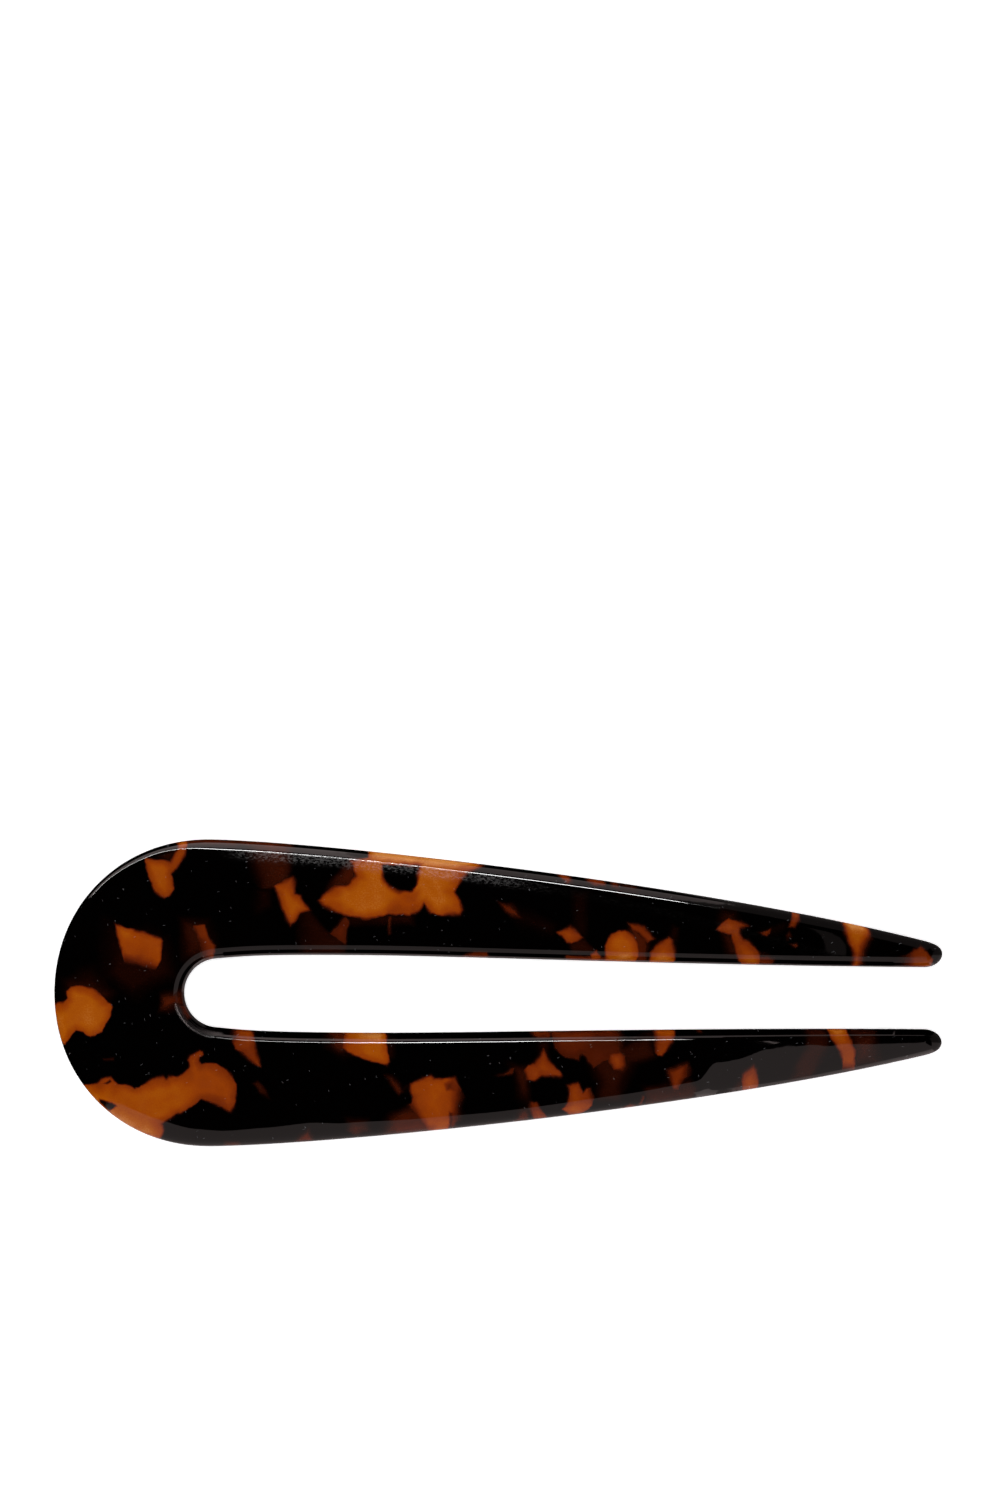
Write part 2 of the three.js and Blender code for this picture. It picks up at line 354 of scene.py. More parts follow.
# Tortoiseshell: lighter chips in near-black acetate. Each is (how light, edge softness, outline,
# fades), and a fade runs from a place where the chip has gone to one where it is full. The first
# outline point and the last are joined too.
CHIPS = [
    # Crown, upper side
    (0.9, 0.26, [(12.8, 19), (12.9, 17.4), (13.7, 15.5), (14.1, 14.4), (14.8, 13.7), (15.5, 13.3),
                 (16.3, 13.6), (16.9, 14.6), (16.8, 15.6), (16.5, 16.7), (17.3, 17.6), (18.4, 19.3),
                 (18.9, 22), (17.4, 22), (17.3, 20.2), (16.4, 18.5), (15, 18.7)]),
    (0.3, 0.48, [(15, 19.2), (16.9, 19.9), (16.2, 18.6)]),
    (1, 0.26, [(8.7, 9.7), (10, 9.2), (12.5, 8.6), (15.1, 7.7), (15.35, 7.2), (15.2, 4.7),
                  (14.3, 3.2), (10.5, 3), (9.9, 4.8), (9.2, 7)], [((12, 3), (12.6, 5.2))]),
    (0.12, 1.6, [(8, 9), (15.7, 7.5), (17, 2.5), (11, 0), (7.6, 2.5)]),
    (0.68, 0.22, [(21.3, 9.8), (21.7, 8.4), (22.1, 7.5), (22.7, 6.7), (22.6, 4), (20, 4.5),
                  (19.6, 9.5)], [((19.6, 7), (21.1, 7.6))]),
    (0.22, 1.12, [(18, 10.3), (21.4, 10), (22.5, 5), (18.5, 5.2)]),
    # Crown, middle
    (1, 0.22, [(-1, -1.8), (0.2, -1.7), (1.4, -1.3), (2, -0.9), (1.85, 0.2), (2.6, 0.9),
               (3.3, 1.1), (5.5, 0.7), (6.2, 0.3), (6.9, -0.4), (8.1, -1.5), (8.4, -2), (8, -3.5),
               (6.9, -5.5), (6, -6), (5.3, -6.2), (4.6, -5.9), (4.2, -5.5), (3.3, -5.4),
               (2.8, -5.8), (2.3, -6.6), (1.7, -7.4), (-1, -8)]),
    (0.2, 1.28, [(1.8, 1.6), (5.2, 2.6), (8.4, 0), (7, -2.4), (2, -1)]),
    (0.45, 0.8, [(15.4, 0.5), (17, 1.4), (18.2, 1), (18.6, -2), (17, -1.8), (16.3, -2.1),
                 (15.2, -2.4)], [((15.8, 1), (16.4, -1.4))]),
    (0.5, 0.32, [(17.5, -1.6), (18.9, -1.8), (19.4, -3.4), (18.8, -3.6)]),
    (0.3, 0.24, [(7.1, -9.3), (8.6, -9.2), (8.5, -9.5), (7.2, -9.5)]),
    # Crown, lower side
    (0.9, 0.24, [(4, -13.2), (5.6, -12.8), (6.3, -12.6), (7, -12.1), (7.5, -11.8), (8.2, -11.8),
                  (9.3, -12.8), (10.3, -12.8), (11.6, -13.3), (12.3, -13.2), (13.8, -12.1),
                  (14.6, -11.8), (15.6, -11.7), (16, -12.1), (16.4, -11.6), (17.4, -11.7),
                  (18.2, -11.3), (18.9, -10.7), (19.2, -10.1), (19, -9.3), (19.3, -8.7), (20, -8.4),
                  (20.7, -8), (21.2, -8.1), (21.3, -8.6), (20.7, -9.1), (20.6, -9.6), (20.9, -9.9),
                  (21.6, -9.7), (23, -9.8), (24, -10.4), (24.9, -11.1), (25.9, -12.7),
                  (25.8, -15.3), (25.1, -16.6), (24.6, -16.5), (23.6, -15.9), (22.4, -15.3),
                  (21.6, -15), (20.9, -14.9), (19.6, -15.9), (18.3, -16.7), (17.2, -17.1),
                  (16.4, -17.7), (15.5, -18.4), (15.7, -19.5), (15, -21.4), (9, -20.5),
                  (3, -16)]),
    # Lower prong
    (0.75, 0.29, [(25, -4.6), (25.2, -6.6), (25.6, -7.7), (26.4, -8.3), (28.4, -9.9), (29.3, -10.3),
                  (29.1, -9.4), (28.5, -7.2), (28, -4.6)], [((24.8, -6), (26, -6.3))]),
    (0.28, 0.35, [(28.2, -12.6), (28.8, -12.2), (30, -13.4), (30.3, -14.4), (29.2, -13.9)]),
    (0.97, 0.32, [(41.3, -4.8), (46.8, -4.8), (47, -7.5), (47.3, -9.4), (46.9, -9.85), (46.2, -9.7),
                 (44, -9.15), (42, -8.35), (40.6, -7.5)], [((39.4, -6.5), (41.8, -7))]),
    (0.3, 0.96, [(38.6, -4.8), (42, -4.8), (42.5, -8), (40.2, -8.3), (39, -7.4)]),
    (0.14, 0.64, [(46.8, -6), (48, -6.6), (48, -8.6), (47, -9.4)]),
    (0.38, 0.35, [(47, -11.4), (47.7, -11.4), (48.9, -12.9), (49.2, -13.5), (48.6, -14.1),
                  (47.6, -12.8)]),
    (0.16, 0.32, [(49, -13.2), (50.6, -12.4), (50.6, -13)]),
    (0.95, 0.26, [(50.2, -12.5), (52, -11.6), (53.2, -11.2), (53.6, -11.7), (55.5, -11.6),
                  (56.5, -11.5), (57.4, -13.3), (58, -14.8), (58.4, -16.4), (58.7, -20),
                  (50.6, -20), (49.2, -15.8), (50.4, -15.3), (50.5, -14.4), (50.35, -13.4)],
     [((50.6, -18), (52.6, -16.6)), ((58.2, -14.6), (55.8, -14.2))]),
    (0.3, 0.8, [(47.3, -17), (50.2, -15.6), (54, -16), (54, -20), (46.5, -20)]),
    (0.26, 0.5, [(41.6, -17.6), (44.2, -17.7), (44.6, -19.2), (42.8, -20), (41.5, -19.2)]),
    (0.45, 0.4, [(34.2, -21), (35, -19.9), (36, -19.1), (36.9, -21)]),
    (0.3, 0.48, [(24, -22), (24.3, -20.8), (26.2, -20.8), (27, -22)]),
    (0.78, 0.32, [(68.95, -7.4), (69.3, -8.2), (69.6, -8.9), (71, -10.3), (71.6, -11.1),
                 (71.3, -11.35), (68.7, -11.3), (68.2, -11.7), (67.6, -11.9), (66.6, -11.8),
                 (65.8, -11.2), (66.2, -10.4), (66.8, -9.7), (67.6, -9.4), (68.3, -8.5)],
     [((65.6, -11), (67, -10.6))]),
    (0.16, 0.48, [(68.5, -6.4), (69.6, -6.4), (69.6, -9), (68.4, -9)]),
    (0.42, 0.3, [(62.7, -11.1), (63.5, -10.9), (64.4, -10.1), (65, -10.1), (64.6, -11),
                  (63.9, -11.2)]),
    (0.23, 0.9, [(64.6, -9.8), (67, -10), (66.8, -14.8), (65.7, -13.8)]),
    (0.58, 0.32, [(67.1, -14.9), (68.1, -14.8), (68.5, -15.7), (70, -17.6), (68, -18), (67, -16)]),
    (0.32, 0.4, [(65.9, -16), (66.7, -15.8), (67.1, -16.7), (66.8, -18), (65, -18), (65.5, -16.6)]),
    (0.5, 0.4, [(66.6, -4.6), (70.3, -4.6), (69.8, -5.9), (68, -6)]),
    (0.42, 0.24, [(69.9, -4.6), (80.3, -4.6), (80.5, -6.5), (80.2, -8.2), (77.5, -9.2),
                  (75.9, -10.2), (75.3, -9.3), (74.9, -8.6), (74.4, -8.3), (74.05, -8.5),
                  (73.9, -9), (73.3, -8.8), (72, -8.6), (71, -8), (70.4, -7.3)],
     [((81.2, -6), (78.6, -6.3))]),
    (0.2, 0.8, [(75.6, -9), (84, -5), (84.6, -8.4), (81.5, -9.5), (80.5, -11.5), (79.6, -14.6),
                 (76.6, -14.6), (76.7, -12)]),
    (0.7, 0.7, [(77.9, -8), (79.6, -7.7), (80.4, -8.4), (80.5, -9.8), (79.9, -10.5), (78.8, -10.3),
                 (78, -9.2)]),
    (0.78, 0.27, [(72.4, -12.5), (73.8, -12.1), (74.2, -12.8), (74.5, -13.45), (75, -12.9),
                  (75.6, -12.9), (76, -14), (75.8, -15.4), (75, -16.2), (74, -17.4),
                  (72.6, -16.7), (71.6, -15.9), (72.4, -15), (72.5, -13.6)],
     [((76.6, -14), (75.1, -14.4))]),
    (0.82, 0.27, [(84.3, -4.4), (87.8, -4.4), (87.3, -5.8), (86.2, -7.5), (85.6, -8.35),
                  (84.9, -8.3), (84.2, -7.2)], [((83.9, -6.5), (85.3, -6.5))]),
    (0.68, 0.4, [(86.4, -10.3), (88.3, -9.6), (89.1, -9.35), (89.8, -10.6), (88.4, -11.8),
                 (87.9, -13), (87.1, -13), (86.8, -11.5)], [((90, -11), (88.4, -10.9))]),
    (0.2, 0.56, [(83.2, -12.8), (89.6, -11.6), (90.6, -12.8), (90, -15.5), (83.2, -16)]),
    (0.42, 0.24, [(82.8, -13.8), (83.1, -13.9), (82.9, -15.5), (82.4, -15.5)]),
    (0.5, 0.32, [(80.2, -15.8), (81.2, -15.2), (82.2, -15.4), (82.4, -17), (80.4, -17)]),
    (0.7, 0.32, [(96.9, -10.9), (98.1, -9.8), (98.5, -9.6), (98.9, -10.1), (99.2, -11),
                 (99.6, -13.4), (97.4, -13.6), (96.8, -11.9)]),
    (0.2, 0.64, [(95.4, -13.6), (96.9, -11), (98, -13.6)]),
    (0.4, 0.24, [(90.3, -4), (91.6, -4), (91.2, -5), (90.6, -5)]),
    (0.92, 0.32, [(109, -4), (111.5, -4), (112.3, -6.3), (112.8, -7.5), (113, -11), (111.5, -11),
                 (110.9, -8.5), (110.5, -7.4), (110, -6.6), (109.3, -5.8)],
     [((109, -11), (109.5, -8.2))]),
    (0.26, 0.96, [(112, -4), (115.6, -4.6), (116, -9), (112.6, -9.6)]),
    (0.2, 0.56, [(105.8, -4), (109, -4), (109, -6.7), (108, -8.8), (107, -11.4), (104, -12),
                 (104.4, -9.4), (105.8, -7)]),
    # Upper prong
    (0.27, 0.56, [(26.8, 22), (33.3, 22), (33.3, 17.6), (33, 15.6), (31, 14.8), (29.2, 14.8),
                  (27.8, 16.5)], [((26.8, 17), (29.8, 18))]),
    (0.33, 0.3, [(17.5, 22.5), (17.8, 20.9), (27, 20.8), (33.6, 20.5), (33.8, 22.5)]),
    (0.14, 0.96, [(29, 12), (30.4, 12.4), (30.2, 14.6), (28.8, 14.4)]),
    (0.9, 0.45, [(30.9, 15.2), (31.4, 13.8), (32, 12.3), (32.4, 11.2), (32.9, 10.2), (33.3, 9.7),
                 (33.9, 10.1), (34.6, 11.4), (35.9, 11.8), (35, 13.2), (34.6, 13.8), (33.9, 14.1),
                 (33.8, 15.8), (33.5, 16.5), (32.3, 16)]),
    (0.15, 0.32, [(34.1, 4.8), (41.1, 4.8), (41.2, 8.2), (38.7, 8.5), (37.5, 9.9), (36.4, 11.1),
                 (35.9, 11.8), (34.3, 11.1)], [((33.6, 8), (35.6, 8))]),
    (0.42, 0.32, [(41, 11.1), (41.6, 10.4), (41.2, 8.2), (41, 6.9), (39.5, 8), (38.7, 8.5),
                  (40, 10)]),
    (0.3, 0.6, [(38.2, 14.6), (39.5, 16.6), (41.4, 18.9), (42.8, 19), (42.8, 15), (39.4, 14.6)]),
    (1, 0.36, [(37.2, 13.2), (38.2, 14.4), (39.4, 15.2), (41.3, 15.5), (42.3, 16.6), (42, 18),
               (41.5, 18.9), (44.1, 19.3), (44.4, 22), (60.4, 20), (60.3, 18.2), (59.2, 17.6),
               (58, 17.2), (56.8, 15.5), (56.3, 14.5), (57, 13.4), (57.4, 12), (57, 11.4),
               (54, 11.2), (52.9, 11.5), (52, 12.9), (51.4, 11.9), (50, 11.2), (47, 11.3),
               (46, 11), (44, 10.6), (41, 11.1), (39.2, 11.8), (38, 12.4)]),
    (0.14, 0.6, [(41.5, 9.8), (50.5, 10), (50.5, 11.4), (41.5, 11.4)]),
    (0.38, 0.25, [(46.9, 11), (47.5, 11), (47.3, 8.6), (47, 8.5)]),
    (0.5, 0.32, [(57.3, 4.6), (57.6, 5.6), (59, 6.1), (60.9, 6.1), (61.6, 4.6)]),
    (0.5, 0.5, [(62.6, 13), (64.2, 12.7), (64.9, 12.1), (65.6, 11), (64.3, 11.3), (63.4, 11.8)]),
    (0.1, 1.12, [(65.2, 12), (70.4, 10), (70, 8.8), (65.4, 10.6)]),
    (0.11, 0.6, [(73, 8.8), (74.8, 8.6), (74.7, 14.4), (73.1, 14.4)]),
    (0.82, 0.32, [(70.6, 9), (72.6, 9.8), (73.1, 9.5), (74.4, 8.2), (73.6, 7.7), (72.8, 7.4),
                 (72.1, 7.6)]),
    (0.18, 0.32, [(72.3, 7.4), (74.3, 8.1), (76.2, 6.4), (75.3, 6.1), (72.8, 6.1)]),
    (0.75, 0.32, [(75.4, 4.8), (75.4, 6), (76.2, 6.5), (77, 5.6), (77, 4.4)]),
    (0.5, 0.32, [(71.9, 4.4), (82.2, 4.2), (82.2, 5.4), (72, 5.7)]),
    (0.6, 0.4, [(70.8, 18), (70.9, 17), (71.3, 16.4), (72.1, 15.7), (72.6, 16), (72.4, 18)]),
    (0.5, 0.4, [(74.7, 17.6), (75, 16), (76, 15.4), (77.5, 15.5), (77.6, 17)]),
    (0.4, 0.4, [(78.3, 17), (78.3, 15.4), (79.5, 15), (79.6, 17)]),
    (0.18, 0.64, [(79.5, 17), (79.5, 14.7), (82, 14.3), (82.4, 16)]),
    (0.92, 0.32, [(77.4, 4.2), (77.5, 7.2), (77.7, 8.1), (78.4, 8.8), (79.5, 9.3), (80.3, 9.3),
                 (81, 9), (81.6, 8.4), (82.1, 7.6), (82.2, 6.4), (82, 4.2)]),
    (0.38, 0.5, [(81.6, 4.4), (83.4, 4.4), (83.6, 8.2), (82, 9.6), (80.8, 9.8)]),
    (0.72, 0.27, [(80.7, 10.3), (82, 10.2), (82.9, 9.9), (84.4, 8.2), (83.4, 7.5), (82.2, 8.9),
                  (81.3, 9.3)]),
    (0.87, 0.32, [(83.6, 4), (83.8, 6.2), (84.3, 7), (84.9, 7.6), (86.4, 8.4), (86.9, 8),
                  (87.4, 5.9), (87.3, 4)]),
    (0.13, 0.56, [(86.4, 8), (87.2, 7), (87.8, 9.6), (87, 10)]),
    (0.8, 0.27, [(93, 9.6), (93.5, 10.2), (94.8, 11.2), (96.5, 10.6), (97.6, 10.1), (96.4, 9.7),
                 (96.4, 9), (96.9, 8.2), (97.7, 8), (98.7, 6.9), (99.3, 6), (99.5, 4), (97.2, 4),
                 (96, 5.6), (95.5, 7), (95.1, 8.8), (93.4, 9.2)]),
    (0.26, 0.64, [(93.8, 9), (95.5, 9), (96.2, 5.6), (94.8, 6)]),
    (0.2, 0.64, [(93.4, 10.6), (96.2, 10.6), (95.6, 12), (94, 12)]),
    (0.6, 0.27, [(99.2, 9.1), (100.8, 9.8), (100.6, 9), (100.2, 8.6), (99.5, 8.8)]),
    (0.1, 0.64, [(100, 9.6), (103, 10.6), (102.6, 9.6), (100.4, 8.8)]),
    (0.68, 0.29, [(103.2, 10), (103.5, 10.9), (104.2, 12.6), (105.4, 12.3), (104.8, 11.1),
                  (104.1, 9.8)]),
    (0.36, 0.25, [(103.3, 9.4), (103.6, 8.6), (103.1, 8.2), (102.9, 8.6)]),
    (0.6, 0.2, [(103.7, 7.5), (104.3, 7.65), (104.5, 7.3), (104.2, 7.1)]),
    (0.42, 0.48, [(98.8, 4), (101.3, 4), (101.2, 5.4), (100.4, 5.9), (98.9, 5.9)]),
    (1, 0.6, [(111.1, 12), (111.1, 9.5), (111.8, 7.6), (112.4, 6.3), (112.5, 4), (113.5, 4),
              (113.5, 6), (114, 7.2), (114.6, 8.5), (114.8, 9.3), (114.5, 11.5)]),
    (0.75, 0.32, [(119, 5.7), (120.2, 6.3), (120.9, 6.8), (122, 7.35), (122.8, 6.5), (123.7, 5.5),
                 (123.6, 4), (118.6, 4)], [((118.3, 5.4), (121.6, 5.8))]),
]

# Darker flecks inside the chips
FLECKS = [
    (0.14, 2, [(20, -8), (27, -8), (27, -17.5), (19, -17.5)]),
    (0.95, 0.14, [(6.6, -15), (8.3, -15.4), (9, -15.9), (8.6, -16.3), (8, -16.7), (6.6, -15.3)]),
    (0.8, 0.12, [(7.3, -12.75), (8.1, -12.2), (8.2, -12.5), (7.6, -12.8)]),
    (1, 0.4, [(46.1, 18.3), (46.1, 16.4), (47, 15.2), (48.5, 14.5), (50.4, 14.6), (51, 15.6),
               (51.4, 18.2)], [((44.8, 17.2), (46.6, 16.7))]),
    (0.22, 0.8, [(46.8, 11.4), (50.9, 11.6), (51.3, 14.6), (48, 14.6)]),
    (0.45, 0.4, [(55.1, -12.4), (56.1, -12.1), (56.3, -13.2), (55.4, -13.4)]),
    (0.5, 0.2, [(55.8, -16.4), (56.2, -16.6), (56.3, -20), (55.9, -20)]),
]


class Nodes:
    """Adds shader nodes to a node tree, in the order in which they are worked out."""

    def __init__(self, tree):
        self.tree = tree

    def add(self, kind, inputs=(), **settings):
        node = self.tree.nodes.new(kind)
        for name, value in settings.items():
            setattr(node, name, value)
        for key, value in dict(inputs).items():
            if isinstance(value, bpy.types.NodeSocket):
                self.tree.links.new(value, node.inputs[key])
            else:
                node.inputs[key].default_value = value
        return node

    def maths(self, operation, *values):
        return self.add("ShaderNodeMath", enumerate(values), operation=operation).outputs[0]

    def vector(self, operation, *values):
        node = self.add("ShaderNodeVectorMath", enumerate(values), operation=operation)
        return node.outputs[0]

    def dot(self, a, b):
        node = self.add("ShaderNodeVectorMath", {0: a, 1: b}, operation="DOT_PRODUCT")
        return node.outputs["Value"]

    def ease(self, value, start, end, low=0.0, high=1.0):
        return self.add(
            "ShaderNodeMapRange", {0: value, 1: start, 2: end, 3: low, 4: high},
            interpolation_type="SMOOTHSTEP",
        ).outputs[0]

    def noise(self, place, scale, detail=2.0, roughness=0.5):
        return self.add(
            "ShaderNodeTexNoise",
            {"Vector": place, "Scale": scale, "Detail": detail, "Roughness": roughness},
        )


def cross(a, b, c):
    return (b[0] - a[0]) * (c[1] - a[1]) - (b[1] - a[1]) * (c[0] - a[0])


# The corner numbers of an outline's convex hull, anticlockwise.
def hull(points):
    order = sorted(range(len(points)), key=lambda n: points[n])
    chain = []
    for run in (order, order[::-1]):
        side = []
        for n in run:
            while len(side) > 1 and cross(points[side[-2]], points[side[-1]], points[n]) < -1e-9:
                side.pop()
            side.append(n)
        chain += side[:-1]
    return chain


# The line through a and b as (x, y, constant): the distance from it, positive on its left.
def line(a, b):
    length = math.dist(a, b)
    x, y = -(b[1] - a[1]) / length, (b[0] - a[0]) / length
    return x, y, -(x * a[0] + y * a[1])


# A line whose value runs from -softness at one place to softness at another.
def fade_line(start, end, softness):
    run = (end[0] - start[0], end[1] - start[1])
    scale = 2 * softness / (run[0] ** 2 + run[1] ** 2)
    x, y = run[0] * scale, run[1] * scale
    return x, y, -(x * start[0] + y * start[1]) - softness


# Nodes for how far inside every one of some lines a place is, three lines to a node.
def inside_lines(nodes, place, lines):
    along, across = place
    lines = lines + [lines[-1]] * (-len(lines) % 3)
    nearest = None
    for start in range(0, len(lines), 3):
        x, y, constant = zip(*lines[start:start + 3])
        value = nodes.vector("MULTIPLY_ADD", along, x, constant)
        value = nodes.vector("MULTIPLY_ADD", across, y, value)
        nearest = value if nearest is None else nodes.vector("MINIMUM", nearest, value)
    parts = [nodes.dot(nearest, axis) for axis in ((1, 0, 0), (0, 1, 0), (0, 0, 1))]
    return nodes.maths("MINIMUM", nodes.maths("MINIMUM", parts[0], parts[1]), parts[2])


# Nodes for how far inside an outline a place is: inside its hull, and outside each bay in it.
# A bay is open along the side from its last point to its first.
def inside_outline(nodes, place, points, extra=(), is_bay=False):
    if sum(cross(points[0], a, b) for a, b in zip(points[1:], points[2:])) < 0:
        points = points[::-1]
    corners = hull(points)
    start = corners.index(min(corners))
    corners = corners[start:] + corners[:start]
    sides = list(zip(corners, corners[1:] + corners[:1]))
    lines = [line(points[a], points[b]) for a, b in sides if a < b or not is_bay]
    distance = inside_lines(nodes, place, lines + list(extra))
    for a, b in zip(corners, corners[1:] + [corners[0] + len(points)]):
        if b - a > 1:
            bay = [points[n % len(points)] for n in range(a, b + 1)]
            outside = nodes.maths("MULTIPLY", inside_outline(nodes, place, bay, is_bay=True), -1)
            distance = nodes.maths("MINIMUM", distance, outside)
    return distance


# A node group for one chip or fleck, which lightens or darkens what came before it.
def chip_group(name, chip, is_fleck):
    tree = bpy.data.node_groups.new(name, "ShaderNodeTree")
    for socket in ("Along", "Across"):
        tree.interface.new_socket(socket, in_out="INPUT", socket_type="NodeSocketVector")
    for socket in ("Sharpness", "Light"):
        tree.interface.new_socket(socket, in_out="INPUT", socket_type="NodeSocketFloat")
    tree.interface.new_socket("Light", in_out="OUTPUT", socket_type="NodeSocketFloat")
    nodes = Nodes(tree)
    along, across, sharpness, light = nodes.add("NodeGroupInput").outputs[:4]

    level, softness, points = chip[:3]
    fades = [fade_line(start, end, softness) for start, end in (chip[3] if len(chip) > 3 else [])]
    distance = inside_outline(nodes, (along, across), points, fades)
    distance = nodes.maths("MULTIPLY", distance, sharpness)
    if is_fleck:
        kept = nodes.ease(distance, -softness, softness, 1, 1 - level)
        light = nodes.maths("MULTIPLY", light, kept)
    else:
        edge = nodes.ease(distance, -softness, softness, 0, level)
        core = nodes.ease(distance, -0.2, 1.6, 0.72, 1)
        light = nodes.maths("MAXIMUM", light, nodes.maths("MULTIPLY", edge, core))
    nodes.add("NodeGroupOutput", {0: light})
    return tree


# The pin's own millimetres at a shaded place. Chips lean a little through the thickness, so the
# back isn't the front's copy, and their outlines wander slightly.
def pin_places(nodes):
    place = nodes.add("ShaderNodeTexCoord").outputs["Object"]
    place = nodes.vector("SUBTRACT", place, tuple(ORIGIN))
    place = nodes.vector("MULTIPLY", place, (1 / MM,) * 3)
    up = nodes.add("ShaderNodeSeparateXYZ", {0: place}).outputs[2]
    depth = nodes.maths("SUBTRACT", THICKNESS, up)
    lean = nodes.maths("MULTIPLY", nodes.maths("MULTIPLY", depth, depth), CHIP_LEAN)
    lean = nodes.add("ShaderNodeCombineXYZ", {0: lean, 1: lean}).outputs[0]
    moved = nodes.vector("MULTIPLY_ADD", lean, CHIP_LEAN_WAY, place)
    wander = nodes.noise(moved, 0.9, 2.0).outputs["Color"]
    wander = nodes.vector("SUBTRACT", wander, (0.5, 0.5, 0.5))
    moved = nodes.vector("MULTIPLY_ADD", wander, CHIP_WANDER, moved)
    parts = nodes.add("ShaderNodeSeparateXYZ", {0: moved}).outputs
    along = nodes.add("ShaderNodeCombineXYZ", {n: parts[0] for n in range(3)}).outputs[0]
    across = nodes.add("ShaderNodeCombineXYZ", {n: parts[1] for n in range(3)}).outputs[0]
    return place, (along, across)


def ramp(nodes, value, stops):
    node = nodes.add("ShaderNodeValToRGB", {0: value})
    elements = node.color_ramp.elements
    while len(elements) < len(stops):
        elements.new(0.5)
    for element, (place, colour) in zip(elements, stops):
        element.position = place
        element.color = (*colour, 1)
    return node.outputs[0]


# A layer of sparse specks, longer one way than the other.
def specks(nodes, place, turn, spacing, radius):
    narrow = spacing / SPECK_STRETCH
    along = (math.cos(turn) / spacing, math.sin(turn) / spacing, 0)
    across = (-math.sin(turn) / narrow, math.cos(turn) / narrow, 0)
    parts = {0: nodes.dot(place, along), 1: nodes.dot(place, across)}
    turned = nodes.add("ShaderNodeCombineXYZ", parts).outputs[0]
    cells = nodes.add(
        "ShaderNodeTexVoronoi", {"Vector": turned, "Scale": 1}, voronoi_dimensions="2D")
    near = nodes.ease(cells.outputs["Distance"], radius * 0.5 / spacing, radius / spacing, 1, 0)
    chance = nodes.dot(cells.outputs["Color"], (1, 0, 0))
    return nodes.maths("MULTIPLY", near, nodes.ease(chance, 0.7, 1, 0, MOST_DUST))


# How much dust lies at a place.
def dust(nodes, place):
    bend = nodes.noise(place, 1.5, 2.0).outputs["Color"]
    bent = nodes.vector("MULTIPLY_ADD", bend, DUST_BEND, place)
    upright = specks(nodes, bent, 1.9, 3.6, 0.17)
    return nodes.maths("MAXIMUM", upright, specks(nodes, bent, 0.35, 4.6, 0.21))


# Roughness of the hazy stretches that the last polish missed, inside the upper outer edge.
def haze(nodes, place):
    along, across = nodes.add("ShaderNodeSeparateXYZ", {0: place}).outputs[:2]
    run = nodes.maths("SUBTRACT", along, HAZE_EDGE_ALONG)
    slope = nodes.maths("MULTIPLY_ADD", run, HAZE_EDGE_BEND, HAZE_EDGE_SLOPE)
    edge = nodes.maths("MULTIPLY_ADD", slope, run, HAZE_EDGE_ACROSS)
    depth = nodes.maths("SUBTRACT", edge, across)
    band = nodes.maths("MULTIPLY", nodes.ease(depth, 0.1, 0.4), nodes.ease(depth, 0.7, 2.3, 1, 0))
    reach = nodes.maths("MULTIPLY", nodes.ease(along, 20, 31), nodes.ease(along, 56, 74, 1, 0.2))
    stretched = nodes.vector("MULTIPLY", place, (1, 1.8, 1))
    flecks = nodes.ease(nodes.noise(stretched, 2.2, 5.0, 0.8).outputs[0], 0.42, 0.6, 0, HAZY)
    return nodes.maths("MULTIPLY", nodes.maths("MULTIPLY", band, reach), flecks)


# Roughness of the slot end's lower corner, where sanding streaks were left along the curve.
def unpolished_arc(nodes, place):
    centre = (SLOT_END_ALONG + SLOT_END_RADIUS, 0, 0)
    along, across = nodes.add(
        "ShaderNodeSeparateXYZ", {0: nodes.vector("SUBTRACT", place, centre)}).outputs[:2]
    across_square = nodes.maths("MULTIPLY", across, across)
    radius = nodes.maths("SQRT", nodes.maths("MULTIPLY_ADD", along, along, across_square))
    angle = nodes.maths("ARCTAN2", across, along)
    polar = nodes.add("ShaderNodeCombineXYZ", {0: nodes.maths("MULTIPLY", radius, 6), 1: angle})
    streaks = nodes.noise(polar.outputs[0], 1.6, 4.0, 0.75).outputs[0]
    ring = nodes.maths("MULTIPLY", nodes.ease(radius, 5, 5.4), nodes.ease(radius, 6.2, 6.5, 1, 0))
    part = nodes.maths("MULTIPLY", nodes.ease(across, -1.3, -2), nodes.ease(along, 2, -1.5))
    where = nodes.maths("MULTIPLY", ring, part)
    return nodes.maths("MULTIPLY", where, nodes.ease(streaks, 0.38, 0.62, SMUDGED, SANDED))


